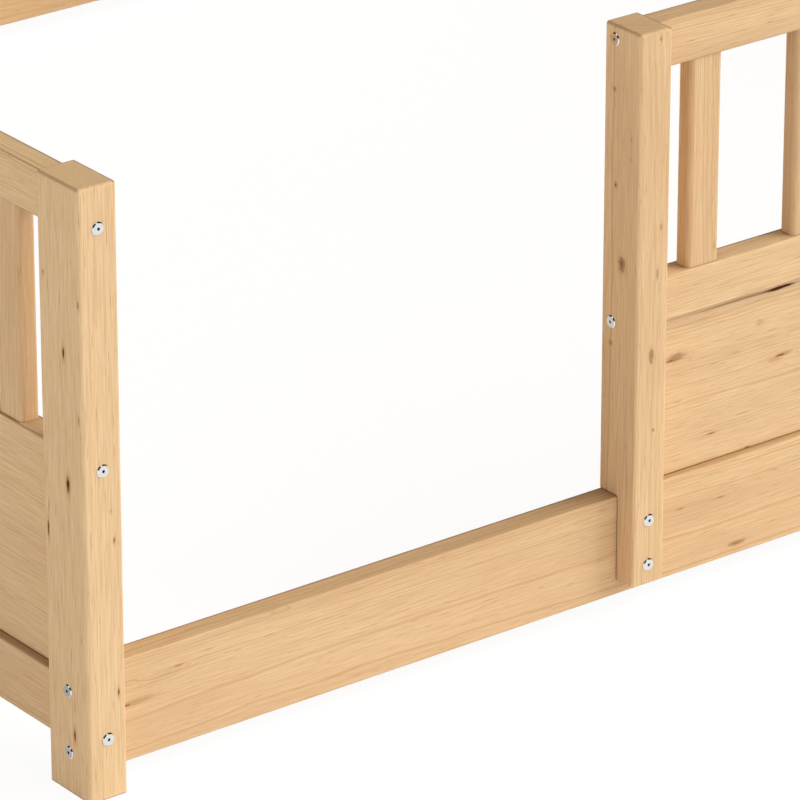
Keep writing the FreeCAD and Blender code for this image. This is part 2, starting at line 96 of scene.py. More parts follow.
def make_pine_figure():
    """Rings, fibres, flecks and tone at a place on a board, given in millimetres with X along the grain."""
    tree, given, found = new_group(
        "pine_figure",
        [("Place", "NodeSocketVector"), ("Pith", "NodeSocketVector"), ("Seed", "NodeSocketFloat"),
         ("Bulge", "NodeSocketFloat")],
        ["Late", "Fibre", "Fleck", "Tone"])
    place = given.outputs["Place"]
    seed = given.outputs["Seed"]

    streaks = {}
    for step, (name, (size, detail)) in enumerate(STREAKS.items(), start=1):
        scaled = add(tree, "ShaderNodeVectorMath", {0: place, 1: [1 / length for length in size]},
                     operation="MULTIPLY")
        shifted = add(tree, "ShaderNodeMath", {0: seed, 1: SEED_STEP * step}, operation="ADD")
        noise = add(tree, "ShaderNodeTexNoise",
                    {"Vector": scaled.outputs[0], "W": shifted.outputs[0], "Scale": 1, "Detail": detail},
                    noise_dimensions="4D")
        streaks[name] = noise.outputs["Fac"]
    for name in ("Fibre", "Fleck", "Tone"):
        tree.links.new(streaks[name], found.inputs[name])

    # How far a place lies from the pith, which decides the ring it is in.
    slow = add(tree, "ShaderNodeVectorMath", {0: place, 1: (1 / PITH_WANDER_LENGTH, 0, 0)},
               operation="MULTIPLY")
    wander = add(tree, "ShaderNodeTexNoise",
                 {"Vector": slow.outputs[0], "W": seed, "Scale": 1, "Detail": 1}, noise_dimensions="4D")
    centred = add(tree, "ShaderNodeVectorMath", {0: wander.outputs["Color"], 1: (0.5, 0.5, 0.5)},
                  operation="SUBTRACT")
    drift = add(tree, "ShaderNodeVectorMath", {0: centred.outputs[0], 1: (0, PITH_WANDER, PITH_WANDER)},
                operation="MULTIPLY")
    from_pith = add(tree, "ShaderNodeVectorMath", {0: place, 1: given.outputs["Pith"]},
                    operation="SUBTRACT")
    drifted = add(tree, "ShaderNodeVectorMath", {0: from_pith.outputs[0], 1: drift.outputs[0]},
                  operation="ADD")
    across = add(tree, "ShaderNodeVectorMath", {0: drifted.outputs[0], 1: (0, 1, 1)},
                 operation="MULTIPLY")
    radius = add(tree, "ShaderNodeVectorMath", {0: across.outputs[0]}, operation="LENGTH").outputs["Value"]
    for name, push in WAVE_PUSH.items():
        swing = add(tree, "ShaderNodeMath", {0: streaks[name], 1: 0.5}, operation="SUBTRACT")
        radius = add(tree, "ShaderNodeMath", {0: swing.outputs[0], 1: push, 2: radius},
                     operation="MULTIPLY_ADD").outputs[0]
    radius = add(tree, "ShaderNodeMath", {0: radius, 1: given.outputs["Bulge"]}, operation="ADD").outputs[0]

    # Wide and narrow years, each with a late line of its own strength.
    years = add(tree, "ShaderNodeMath", {0: radius, 1: 1 / SPELL_GROWTH, 2: seed},
                operation="MULTIPLY_ADD")
    weather = add(tree, "ShaderNodeTexNoise", {"W": years.outputs[0], "Scale": 1, "Detail": 1},
                  noise_dimensions="1D")
    even = add(tree, "ShaderNodeMath", {0: radius, 1: 1 / RING_SPACING}, operation="MULTIPLY")
    phase = add(tree, "ShaderNodeMath", {0: weather.outputs["Fac"], 1: SPELL_RINGS, 2: even.outputs[0]},
                operation="MULTIPLY_ADD").outputs[0]
    share = add(tree, "ShaderNodeMath", {0: phase}, operation="FRACT").outputs[0]
    rise = add(tree, "ShaderNodeMapRange",
               {"Value": share, "From Min": LATE_START, "From Max": LATE_PEAK},
               interpolation_type="SMOOTHSTEP")
    fall = add(tree, "ShaderNodeMapRange",
               {"Value": share, "From Min": LATE_PEAK, "From Max": 1, "To Min": 1, "To Max": 0},
               interpolation_type="SMOOTHSTEP")
    line = add(tree, "ShaderNodeMath", {0: rise.outputs[0], 1: fall.outputs[0]}, operation="MULTIPLY")
    year = add(tree, "ShaderNodeMath", {0: phase}, operation="FLOOR")
    year_own = add(tree, "ShaderNodeMath", {0: year.outputs[0], 1: seed}, operation="ADD")
    luck = add(tree, "ShaderNodeTexWhiteNoise", {"W": year_own.outputs[0]}, noise_dimensions="1D")
    rare = add(tree, "ShaderNodeMath", {0: luck.outputs["Value"], 1: YEAR_POWER}, operation="POWER")
    weight = add(tree, "ShaderNodeMapRange",
                 {"Value": rare.outputs[0], "To Min": FAINTEST_YEAR, "To Max": 1})
    late = add(tree, "ShaderNodeMath", {0: line.outputs[0], 1: weight.outputs[0]}, operation="MULTIPLY")
    tree.links.new(late.outputs[0], found.inputs["Late"])
    return tree


# Where the parts of a knot fade out, and where the bark round it sets in, in half widths from its middle.
KNOT_FADES = {"heart": (0.3, 1.15), "bark": (0.95, 1.25), "stain": (0.8, 2.6)}
BARK_RISE = (0.6, 0.95)
# How far the ragged edge swings, and how many swings it has, in half widths.
RAGGED_SWING = 1.1
RAGGED_SCALE = 1.7


def make_knot():
    """One knot at a place on a board: its dark, the stain round it, and the push it gives the rings."""
    tree, given, found = new_group(
        "pine_knot",
        [("Place", "NodeSocketVector"), ("Centre", "NodeSocketVector"), ("Half Width", "NodeSocketFloat"),
         ("Stretch", "NodeSocketFloat"), ("Heart", "NodeSocketFloat"), ("Bark", "NodeSocketFloat")],
        ["Dark", "Stain", "Bulge"])
    centre = given.outputs["Centre"]
    half_width = given.outputs["Half Width"]
    offset = add(tree, "ShaderNodeVectorMath", {0: given.outputs["Place"], 1: centre}, operation="SUBTRACT")
    length = add(tree, "ShaderNodeMath", {0: half_width, 1: given.outputs["Stretch"]}, operation="MULTIPLY")
    half = add(tree, "ShaderNodeCombineXYZ", {0: length.outputs[0], 1: half_width, 2: half_width})
    share = add(tree, "ShaderNodeVectorMath", {0: offset.outputs[0], 1: half.outputs[0]},
                operation="DIVIDE")
    distance = add(tree, "ShaderNodeVectorMath", {0: share.outputs[0]}, operation="LENGTH")
    shifted = add(tree, "ShaderNodeVectorMath", {0: share.outputs[0], 1: centre}, operation="ADD")
    ragged = add(tree, "ShaderNodeTexNoise",
                 {"Vector": shifted.outputs[0], "Scale": RAGGED_SCALE, "Detail": 3})
    swing = add(tree, "ShaderNodeMath", {0: ragged.outputs["Fac"], 1: 0.5}, operation="SUBTRACT")
    rough = add(tree, "ShaderNodeMath",
                {0: swing.outputs[0], 1: RAGGED_SWING, 2: distance.outputs["Value"]},
                operation="MULTIPLY_ADD").outputs[0]

    shares = {}
    for name, (near, far) in KNOT_FADES.items():
        fade = add(tree, "ShaderNodeMapRange",
                   {"Value": rough, "From Min": near, "From Max": far, "To Min": 1, "To Max": 0},
                   interpolation_type="SMOOTHSTEP")
        shares[name] = fade.outputs[0]
    rise = add(tree, "ShaderNodeMapRange",
               {"Value": rough, "From Min": BARK_RISE[0], "From Max": BARK_RISE[1]},
               interpolation_type="SMOOTHSTEP")
    bark = add(tree, "ShaderNodeMath", {0: rise.outputs[0], 1: shares["bark"]}, operation="MULTIPLY")
    heart_dark = add(tree, "ShaderNodeMath", {0: shares["heart"], 1: given.outputs["Heart"]},
                     operation="MULTIPLY")
    dark = add(tree, "ShaderNodeMath",
               {0: bark.outputs[0], 1: given.outputs["Bark"], 2: heart_dark.outputs[0]},
               operation="MULTIPLY_ADD")
    push = add(tree, "ShaderNodeMath", {0: shares["stain"], 1: half_width}, operation="MULTIPLY")
    tree.links.new(dark.outputs[0], found.inputs["Dark"])
    tree.links.new(shares["stain"], found.inputs["Stain"])
    tree.links.new(push.outputs[0], found.inputs["Bulge"])
    return tree


# Metres over which painted shade reaches on a ledge below an upright face, and in a corner where two boards
# meet.
LEDGE_REACH = 0.02
CORNER_REACH = 0.003
# Arrises that face left take this much of the painted shade that the others take.
LEFT_ARRIS = 0.4
# Where each kind of painted shade sets in and where it is full: on the slope of an arris, on the rise of a
# face, or on the share of open air round a place.
PAINTED_SHADE_RANGES = {
    "Arris": (0.05, 0.3),
    "Under": (-0.5, -0.9),
    "Level": (0.5, 0.9),
    "Shelter": (0.95, 0.5),
    "Corner": (0.74, 0.5),
}


def make_painted_shade():
    """Painted shade on a board: darker arrises that slope away from the front, darker undersides, and shade
    on ledges and in corners where little open air reaches.
    """
    tree, _, found = new_group("pine_painted_shade", [], ["Arris", "Under", "Ledge", "Corner"])
    normal = add(tree, "ShaderNodeSeparateXYZ",
                 {0: add(tree, "ShaderNodeNewGeometry").outputs["Normal"]})
    left = add(tree, "ShaderNodeMath", {0: normal.outputs["X"], 1: -LEFT_ARRIS}, operation="MULTIPLY")
    sideways = add(tree, "ShaderNodeMath", {0: normal.outputs["X"], 1: left.outputs[0]},
                   operation="MAXIMUM")
    outward = add(tree, "ShaderNodeMath", {0: sideways.outputs[0], 1: normal.outputs["Y"]},
                  operation="MAXIMUM")
    upright = add(tree, "ShaderNodeMath", {0: normal.outputs["Z"]}, operation="ABSOLUTE")
    sloping = add(tree, "ShaderNodeMath", {0: outward.outputs[0], 1: upright.outputs[0]},
                  operation="MULTIPLY")
    wide = add(tree, "ShaderNodeAmbientOcclusion", {"Distance": LEDGE_REACH}, samples=6)
    close = add(tree, "ShaderNodeAmbientOcclusion", {"Distance": CORNER_REACH}, samples=8)
    measured = {"Arris": sloping.outputs[0], "Under": normal.outputs["Z"], "Level": normal.outputs["Z"],
                "Shelter": wide.outputs["AO"], "Corner": close.outputs["AO"]}
    shares = {}
    for name, (none, full) in PAINTED_SHADE_RANGES.items():
        ramp = add(tree, "ShaderNodeMapRange",
                   {"Value": measured[name], "From Min": none, "From Max": full})
        shares[name] = ramp.outputs[0]
    ledge = add(tree, "ShaderNodeMath", {0: shares["Shelter"], 1: shares["Level"]}, operation="MULTIPLY")
    shares["Ledge"] = ledge.outputs[0]
    for name in ("Arris", "Under", "Ledge", "Corner"):
        tree.links.new(shares[name], found.inputs[name])
    return tree


PINE_FIGURE = make_pine_figure()
PINE_KNOT = make_knot()
PINE_PAINTED_SHADE = make_painted_shade()

# Turns that bring a board's length on to X, for a board along X, Y or Z.
GRAIN_TURNS = (Euler((0, 0, 0)), Euler((0, 0, -math.pi / 2)), Euler((0, math.pi / 2, 0)))
# How far the tone of a board swings about its own shade.
TONE_SWING = 0.4
# Patterns swing between 0 and 1. These are the parts of the swing over which each comes in.
TONE_RANGE = (0.3, 0.7)
FIBRE_RANGE = (0.4, 0.7)
FLECK_RANGE = (0.71, 0.82)
ROUGH_RANGE = (0.3, 0.7)
# How squarely a face looks along the grain to show end grain, and up to take the painted line of shade,
# from none to full.
END_GRAIN_RANGE = (0.6, 0.95)
TOP_RANGE = (0.3, 0.7)
# The most that fibres, flecks, stains round knots, end grain and the painted line of shade tint the wood.
FIBRE_SHARE = 0.55
FLECK_SHARE = 0.5
STAIN_SHARE = 0.4
END_GRAIN_SHARE = 0.12
SHADE_LINE_SHARE = 0.6
# The painted line of shade starts and is full this many metres before the back edge of a top.
SHADE_LINE_START = 0.004
SHADE_LINE_FULL = 0.0015
# A mark drawn out this far is a crack, a pitch line or a painted line of shadow, and doesn't stain the wood
# round it.
CRACK_STRETCH = 10
# How strongly the painted shade darkens the wood. How dark the painted shade in the corners is depends on
# the board.
PAINTED_SHADE_TINTS = {"Arris": (0.6, "#7E5830"), "Under": (0.6, "#8A6236"), "Ledge": (0.35, "#6E4A28")}
CORNER_TINT = "#3E2814"
# Sets the boards of a row of slats apart.
ROW_SEED_STEP = 7.31
# Sanded wood is matt, smoother on early wood than on the fibres, which stand up by this many metres.
PINE_ROUGHNESS = (0.55, 0.7)
PINE_SPECULAR = 0.06
FIBRE_HEIGHT = 0.0001
RELIEF_STRENGTH = 0.4
FIBRE_RELIEF = 0.8


def pine(board):
    """Sanded pine: matt, straw coloured, darker along late wood, fibres and knots, with painted shade where
    boards meet, on ledges, arrises and undersides, and along the back edge of tops.
    """
    material, tree, shader = new_material("sanded_pine_" + board.node)
    turn = GRAIN_TURNS[board.along]
    coordinates = add(tree, "ShaderNodeTexCoord").outputs["Object"]
    # Where a point lies on its board, in millimetres from the board's middle, with X along the grain.
    start = -(turn.to_matrix() @ board.middle) * MM_PER_M
    place = add(tree, "ShaderNodeMapping",
                {"Vector": coordinates, "Location": start, "Rotation": turn,
                 "Scale": (MM_PER_M,) * 3}).outputs[0]
    world = add(tree, "ShaderNodeSeparateXYZ", {0: coordinates})

    bulge = 0.0
    darks = 0.0
    stains = 0.0
    for centre, half_width, stretch, heart, bark in board.knots:
        local = turn.to_matrix() @ (Vector(centre) - board.middle * MM_PER_M)
        knot = add(tree, "ShaderNodeGroup",
                   {"Place": place, "Centre": local, "Half Width": half_width, "Stretch": stretch,
                    "Heart": heart, "Bark": bark}, node_tree=PINE_KNOT)
        bulge = add(tree, "ShaderNodeMath", {0: knot.outputs["Bulge"], 1: bulge},
                    operation="ADD").outputs[0]
        darks = add(tree, "ShaderNodeMath", {0: knot.outputs["Dark"], 1: darks},
                    operation="ADD").outputs[0]
        reach = max(heart, bark) if stretch < CRACK_STRETCH else 0.0
        stains = add(tree, "ShaderNodeMath", {0: knot.outputs["Stain"], 1: reach, 2: stains},
                     operation="MULTIPLY_ADD").outputs[0]

    seed = board.seed
    if board.row:
        # Slats of one row come from different boards, so each has a seed from its place in the row.
        axis, pitch, first = board.row
        shifted = add(tree, "ShaderNodeMath", {0: world.outputs[axis], 1: first}, operation="SUBTRACT")
        counted = add(tree, "ShaderNodeMath", {0: shifted.outputs[0], 1: pitch}, operation="DIVIDE")
        number = add(tree, "ShaderNodeMath", {0: counted.outputs[0]}, operation="FLOOR")
        seed = add(tree, "ShaderNodeMath", {0: number.outputs[0], 1: ROW_SEED_STEP, 2: seed},
                   operation="MULTIPLY_ADD").outputs[0]
    figure = add(tree, "ShaderNodeGroup",
                 {"Place": place, "Pith": board.pith, "Seed": seed, "Bulge": bulge}, node_tree=PINE_FIGURE)

    tone = add(tree, "ShaderNodeMapRange",
               {"Value": figure.outputs["Tone"], "From Min": TONE_RANGE[0], "From Max": TONE_RANGE[1],
                "To Min": board.shade - TONE_SWING, "To Max": board.shade + TONE_SWING})
    colour = add(tree, "ShaderNodeMix",
                 {"Factor": tone.outputs[0], 6: srgb("#F1D2AA"), 7: srgb("#DFBD99")},
                 data_type="RGBA").outputs[2]
    late = add(tree, "ShaderNodeMath", {0: figure.outputs["Late"], 1: board.contrast}, operation="MULTIPLY")
    fibre = add(tree, "ShaderNodeMapRange",
                {"Value": figure.outputs["Fibre"], "From Min": FIBRE_RANGE[0], "From Max": FIBRE_RANGE[1],
                 "To Min": 0, "To Max": FIBRE_SHARE})
    fleck = add(tree, "ShaderNodeMapRange",
                {"Value": figure.outputs["Fleck"], "From Min": FLECK_RANGE[0], "From Max": FLECK_RANGE[1],
                 "To Min": 0, "To Max": FLECK_SHARE})
    layers = [(late, "#CDA06D"), (fibre, "#CEA578"), (fleck, "#B67D48")]
    if board.knots:
        stain = add(tree, "ShaderNodeMath", {0: stains, 1: STAIN_SHARE}, operation="MULTIPLY",
                    use_clamp=True)
        dark = add(tree, "ShaderNodeClamp", {"Value": darks})
        layers += [(stain, "#C98A4C"), (dark, "#502A11")]

    # End grain drinks in more light, and a painted line of shade lies along the back edge of the top.
    normal = add(tree, "ShaderNodeSeparateXYZ",
                 {0: add(tree, "ShaderNodeNewGeometry").outputs["Normal"]})
    ends = add(tree, "ShaderNodeMath", {0: normal.outputs[board.along]}, operation="ABSOLUTE")
    end_grain = add(tree, "ShaderNodeMapRange",
                    {"Value": ends.outputs[0], "From Min": END_GRAIN_RANGE[0],
                     "From Max": END_GRAIN_RANGE[1], "To Min": 0, "To Max": END_GRAIN_SHARE})
    axis, edge = board.back_edge
    back = add(tree, "ShaderNodeMapRange",
               {"Value": world.outputs[axis], "From Min": edge - SHADE_LINE_START, "From Max": edge - SHADE_LINE_FULL,
                "To Min": 0, "To Max": SHADE_LINE_SHARE})
    upward = add(tree, "ShaderNodeMapRange",
                 {"Value": normal.outputs["Z"], "From Min": TOP_RANGE[0], "From Max": TOP_RANGE[1]})
    shade_line = add(tree, "ShaderNodeMath", {0: back.outputs[0], 1: upward.outputs[0]}, operation="MULTIPLY")
    layers += [(end_grain, "#B68650"), (shade_line, "#7A4E24")]
    # Painted shade on sloping arrises, undersides and ledges, and in corners where boards meet.
    painted_shade_node = add(tree, "ShaderNodeGroup", node_tree=PINE_PAINTED_SHADE)
    for socket, (strength, tint) in {**PAINTED_SHADE_TINTS, "Corner": (board.corner, CORNER_TINT)}.items():
        layer = add(tree, "ShaderNodeMath", {0: painted_shade_node.outputs[socket], 1: strength}, operation="MULTIPLY")
        layers.append((layer, tint))
    for layer, tint in layers:
        colour = add(tree, "ShaderNodeMix", {"Factor": layer.outputs[0], 6: colour, 7: srgb(tint)},
                     data_type="RGBA").outputs[2]
    tree.links.new(colour, shader.inputs["Base Color"])

    rough = add(tree, "ShaderNodeMapRange",
                {"Value": figure.outputs["Fibre"], "From Min": ROUGH_RANGE[0], "From Max": ROUGH_RANGE[1],
                 "To Min": PINE_ROUGHNESS[0], "To Max": PINE_ROUGHNESS[1]})
    tree.links.new(rough.outputs[0], shader.inputs["Roughness"])
    shader.inputs["Specular IOR Level"].default_value = PINE_SPECULAR
    relief = add(tree, "ShaderNodeMath",
                 {0: figure.outputs["Fibre"], 1: FIBRE_RELIEF, 2: figure.outputs["Late"]},
                 operation="MULTIPLY_ADD")
    bump = add(tree, "ShaderNodeBump",
               {"Strength": RELIEF_STRENGTH, "Distance": FIBRE_HEIGHT, "Height": relief.outputs[0]})
    tree.links.new(bump.outputs[0], shader.inputs["Normal"])
    return material


# Knots and marks that the boards in view show: centre in millimetres, half width, how far it is drawn out
# along the grain, and how dark its heart and the bark round it are. An empty list is a clear board.
SEEN_KNOTS = {
    "corner_post_front_left": [
        ((-1008, -728, 274), 2.4, 3.0, 1.0, 0.2), ((-1008, -725.5, 386), 1.4, 4, 1.2, 0),
        ((-1008, -700.5, 246), 0.8, 11, 0.6, 0),
        ((-1008, -699, 226), 1.2, 7, 1.0, 0), ((-1008, -700, 446), 1.0, 2.5, 0.6, 0),
        ((-1008, -747, 433), 0.9, 5, 0.7, 0), ((-1008, -745, 335), 0.9, 5, 0.6, 0),
        ((-1008, -727, 125), 0.8, 12, 0.35, 0), ((-1008, -730.5, 79), 0.8, 8, 0.35, 0),
        ((-1008, -729.5, 54), 1.2, 5, 1.3, 0), ((-980.4, -750, 226), 1.1, 3, 0.7, 0),
        ((-979, -750, 92), 1.1, 3.5, 0.9, 0), ((-983, -750, 252), 0.9, 2.4, 0.3, 0)],
    "door_post": [
        ((-453, -733.8, 321.5), 3.6, 1.8, 0.65, 0.35), ((-453, -721.4, 473.6), 1.6, 1.6, 0.55, 0.2),
        ((-453, -724.5, 389.6), 1.5, 1.6, 0.75, 0), ((-453, -721, 246), 1.8, 1.6, 0.45, 0.2),
        ((-453, -744, 436), 0.9, 3, 0.3, 0), ((-453, -743.5, 418), 0.9, 3, 0.3, 0),
        ((-436.2, -754, 241), 2.3, 2.6, 0.5, 0.4), ((-431.5, -754, 522.3), 0.9, 3, 0.6, 0),
        ((-428, -754, 355.4), 1.2, 2.5, 0.35, 0.2), ((-431.3, -754, 314), 1.4, 3, 0.3, 0.3),
        ((-432.6, -754, 172.4), 0.9, 1.5, 0.7, 0), ((-440.7, -754, 145), 0.7, 12, 0.3, 0)],
    "guard_panel": [
        ((-383.6, -724, 215.5), 4.4, 2.6, 0.42, 0), ((-391, -724, 213.5), 1.2, 4, 0.55, 0),
        ((-267.3, -724, 186.7), 0.9, 7, 0.8, 0), ((-262, -724, 187), 2.6, 4, 0.22, 0),
        ((-274, -724, 184), 2.4, 4, 0.2, 0), ((-290.9, -724, 223.6), 3.4, 1.6, 0.2, 0),
        ((-343, -724, 134), 0.8, 8, 0.7, 0), ((-303, -724, 110), 0.8, 4, 0.7, 0),
        # The marks at a height of 250 mm are painted shadow: a thin dark line on the panel just under the
        # guard's middle rail.
        ((-316.5, -724, 105.3), 0.8, 4, 0.7, 0), ((-270, -724, 250), 1.7, 11, 1.6, 0),
        ((-312, -724, 250.4), 1.5, 46, 0.5, 0)],
    "front_bottom_rail": [
        ((-946.5, -733, 68), 2.6, 6, 0.25, 0.1), ((-960, -733, 67), 1.2, 4, 0.5, 0),
        ((-908, -733, 87.6), 0.9, 7, 0.5, 0), ((-922, -733, 84), 5, 3, 0.08, 0.05),
        ((-806, -733, 107), 3.0, 3, 0.05, 0.12), ((-642, -733, 117), 0.9, 8, 0.25, 0),
        ((-383, -733, 77.3), 0.7, 6, 0.6, 0), ((-338.6, -733, 76), 0.7, 9, 0.55, 0),
        ((-319.3, -733, 27), 2.2, 4, 0.5, 0.2)],
    "guard_slat_1": [((-349.3, -730, 311.4), 2.2, 2.4, 0.2, 0)],
    "guard_top_rail": [],
    "guard_mid_rail": [],
    "left_top_rail": [],
    "left_mid_rail": [],
    "left_bottom_rail": [],
    "left_panel": [],
    "left_slat_12": [],
}
# How dark the boards in view are, from pale to dark.
SEEN_SHADES = {
    "corner_post_front_left": -0.2, "door_post": 0.4, "front_bottom_rail": 0.52, "guard_panel": 0.28,
    "guard_slat_1": 0.3, "guard_mid_rail": 0.1, "back_bottom_rail": 0.25, "left_top_rail": -0.45,
    "left_mid_rail": 0.2, "left_panel": 0.2,
}
# The lightest and darkest shade of the other boards.
OTHER_SHADES = (0.35, 0.7)
# Ranges of a chance knot's half width, stretch, heart and bark, and how many there are to a metre.
CHANCE_RANGES = ((1, 3.4), (1.5, 3), (0.3, 0.8), (0, 0.6))
CHANCE_PER_METRE = 2
# How far beyond a board's edge its pith lies, and the slope of the rings in degrees.
PITH_BEYOND = (25, 60)
RING_SLOPES = (18, 45)
# Sets the boards apart.
BOARD_SEED_STEP = 3.7
# Kinds of board, each with how strongly its late wood shows and how dark the painted shade in its corners
# is. The corner posts are the plainest wood, and the panels are plainer than the rails. The painted shade
# is darkest where the panels sit in their grooves, and faint at the feet of the slats. The last kind is any
# other board.
BOARD_KINDS = (
    ("corner_post", 0.32, 0.6), ("panel", 0.52, 0.85), ("slat", 0.65, 0.25), ("mid_rail", 0.65, 0.25),
    ("", 0.65, 0.6))
# Rows of slats that are one node each: the axis that the row runs along, and its number of slats.
SLAT_ROWS = {"right_slats": (1, 12), "back_slats": (0, 17)}
ROW_PITH = (0, 60, 45)


def chance_knots(low, high, along, dice):
    """A few small knots on the broad faces of a board that the picture doesn't show."""
    size = high - low
    thin = min((axis for axis in range(3) if axis != along), key=lambda axis: size[axis])
    knots = []
    for _ in range(dice.randint(0, 1 + round(CHANCE_PER_METRE * size[along]))):
        centre = [dice.uniform(low[axis], high[axis]) * MM_PER_M for axis in range(3)]
        centre[thin] = dice.choice((low[thin], high[thin])) * MM_PER_M
        knots.append((centre, *(dice.uniform(*limits) for limits in CHANCE_RANGES)))
    return knots


class Board:
    """One board: its box, the way its grain runs, where it sat in the log, and the marks on it."""

    def __init__(self, node, number):
        self.node = node
        low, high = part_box(node)
        size = high - low
        self.middle = (low + high) / 2
        self.along = 2 if "slat" in node or "post" in node else max(range(3), key=lambda axis: size[axis])
        self.back_edge = (1, high.y) if self.along == 0 else (0, high.x)
        self.seed = number * BOARD_SEED_STEP
        dice = random.Random(number)
        self.row = None
        if node in SLAT_ROWS:
            axis, count = SLAT_ROWS[node]
            rail_low, rail_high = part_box(node.replace("slats", "top_rail"))
            self.row = (axis, (rail_high[axis] - rail_low[axis]) / count, rail_low[axis])
            self.pith = ROW_PITH
        else:
            # The rings stand steeply on the broad face: it shows fine lines, the narrow face wider ones.
            local = GRAIN_TURNS[self.along].to_matrix() @ size
            spread = max(abs(local.y), abs(local.z)) * MM_PER_M / 2 + dice.uniform(*PITH_BEYOND)
            slope = math.radians(dice.uniform(*RING_SLOPES))
            wide = dice.choice((-1, 1)) * spread
            thin = dice.choice((-1, 1)) * spread * math.tan(slope)
            self.pith = (0, wide, thin) if abs(local.y) > abs(local.z) else (0, thin, wide)
        self.knots = SEEN_KNOTS.get(node)
        if self.knots is None:
            self.knots = chance_knots(low, high, self.along, dice) if self.row is None else []
        self.shade = SEEN_SHADES.get(node, dice.uniform(*OTHER_SHADES))
        _, self.contrast, self.corner = next(kind for kind in BOARD_KINDS if kind[0] in node)


# Steel bolts with a bright zinc coat: nearly white, smooth where the head was turned, a little mottled, in
# spots of this many millimetres. Painted shade greys the coat within this many metres of a wall, as in the
# sockets, the more so the less open air there is, and the heads that face sideways get a painted darker
# reflection.
ZINC_MOTTLE = 1.5
SOCKET_REACH = 0.003
SOCKET_AIR = (0.2, 0.75)
SIDEWAYS = (0.9, 0.98)
SIDE_SHADE_SHARE = 0.85
ZINC_ROUGHNESS = (0.03, 0.12)


def zinc():
    material, tree, shader = new_material("bright_zinc_on_steel")
    coordinates = add(tree, "ShaderNodeTexCoord")
    mottle = add(tree, "ShaderNodeTexNoise",
                 {"Vector": coordinates.outputs["Object"], "Scale": MM_PER_M / ZINC_MOTTLE, "Detail": 2})
    bright = add(tree, "ShaderNodeMix",
                 {"Factor": mottle.outputs["Fac"], 6: srgb("#F4F4F3"), 7: srgb("#E0E1E2")},
                 data_type="RGBA")
    # Painted shade: the coat greys in the sockets and near walls.
    nearby = add(tree, "ShaderNodeAmbientOcclusion", {"Distance": SOCKET_REACH}, samples=8)
    socket = add(tree, "ShaderNodeMapRange",
                 {"Value": nearby.outputs["AO"], "From Min": SOCKET_AIR[0], "From Max": SOCKET_AIR[1],
                  "To Min": 1, "To Max": 0})
    socket_shaded = add(tree, "ShaderNodeMix",
                 {"Factor": socket.outputs[0], 6: bright.outputs[2], 7: srgb("#B4B8BE")},
                 data_type="RGBA")
    # Painted darker reflection on the heads that face sideways.
    normal = add(tree, "ShaderNodeSeparateXYZ",
                 {0: add(tree, "ShaderNodeNewGeometry").outputs["Normal"]})
    sideways = add(tree, "ShaderNodeMath", {0: normal.outputs["X"]}, operation="ABSOLUTE")
    side_shade = add(tree, "ShaderNodeMapRange",
               {"Value": sideways.outputs[0], "From Min": SIDEWAYS[0], "From Max": SIDEWAYS[1],
                "To Min": 0, "To Max": SIDE_SHADE_SHARE})
    coat = add(tree, "ShaderNodeMix",
               {"Factor": side_shade.outputs[0], 6: socket_shaded.outputs[2], 7: srgb("#C6C2BC")}, data_type="RGBA")
    tree.links.new(coat.outputs[2], shader.inputs["Base Color"])
    rough = add(tree, "ShaderNodeMapRange",
                {"Value": mottle.outputs["Fac"], "To Min": ZINC_ROUGHNESS[0], "To Max": ZINC_ROUGHNESS[1]})
    tree.links.new(rough.outputs[0], shader.inputs["Roughness"])
    shader.inputs["Metallic"].default_value = 1
    return material


# Beech dowels: pinkish brown and close grained, with short darker rays of this many millimetres.
BEECH_RAY = 2
RAY_RANGE = (0.45, 0.7)
BEECH_ROUGHNESS = 0.6


def beech():
    material, tree, shader = new_material("turned_beech")
    coordinates = add(tree, "ShaderNodeTexCoord").outputs["Object"]
    place = add(tree, "ShaderNodeMapping",
                {"Vector": coordinates, "Scale": (MM_PER_M / BEECH_RAY,) * 3})
    rays = add(tree, "ShaderNodeTexNoise", {"Vector": place.outputs[0], "Scale": 1, "Detail": 2})
    share = add(tree, "ShaderNodeMapRange",
                {"Value": rays.outputs["Fac"], "From Min": RAY_RANGE[0], "From Max": RAY_RANGE[1]})
    colour = add(tree, "ShaderNodeMix",
                 {"Factor": share.outputs[0], 6: srgb("#DDB48C"), 7: srgb("#B98A60")}, data_type="RGBA")
    tree.links.new(colour.outputs[2], shader.inputs["Base Color"])
    shader.inputs["Roughness"].default_value = BEECH_ROUGHNESS
    return material


ZINC = zinc()
BEECH = beech()
for number, name in enumerate(sorted(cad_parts), start=1):
    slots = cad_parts[name].data.materials
    slots.clear()
    if name.endswith(("_bolts", "_nuts")):
        slots.append(ZINC)
    elif name.endswith("_dowels"):
        slots.append(BEECH)
    else:
        slots.append(pine(Board(name, number)))


# Studio: a pale floor that reads white, pale walls, and broad soft lights. The right one is the key.
FLOOR_RADIUS = 40
# The share of white in the floor as it is seen. The rest is its paint, which takes the bed's shadow.
FLOOR_WHITE = 0.86
FLOOR_GLOW = 1.08
# Metal mirrors a floor that is darker by so much in the open, and by more in a painted shade of the bed.
# That painted shade lies left of the bed and behind its front, with soft edges.
MIRRORED_DIM = 0.1
MIRRORED_SHADE = 0.45
SHADE_LEFT = (-1.06, -1)
SHADE_FRONT = (-0.8, -0.74)
# The walls glow less and less up to their top. Heights are the Z of the direction in which one looks.
WALL_GLOW = 1.08
WALL_TOP = 0.35
# What metal mirrors, as painted reflections set apart from the light in the scene: the walls, the dark
# ceiling past its edge, and painted glints in the ceiling that light nothing.
MIRRORED_WALL = 0.9
MIRRORED_CEILING = 0.03
CEILING_EDGE = (0.12, 0.22)
PAINTED_GLINTS = ((0.11, -0.57, 0.81), (-0.68, 0.20, 0.71))
PAINTED_GLINT_EDGE = (0.97, 0.985)
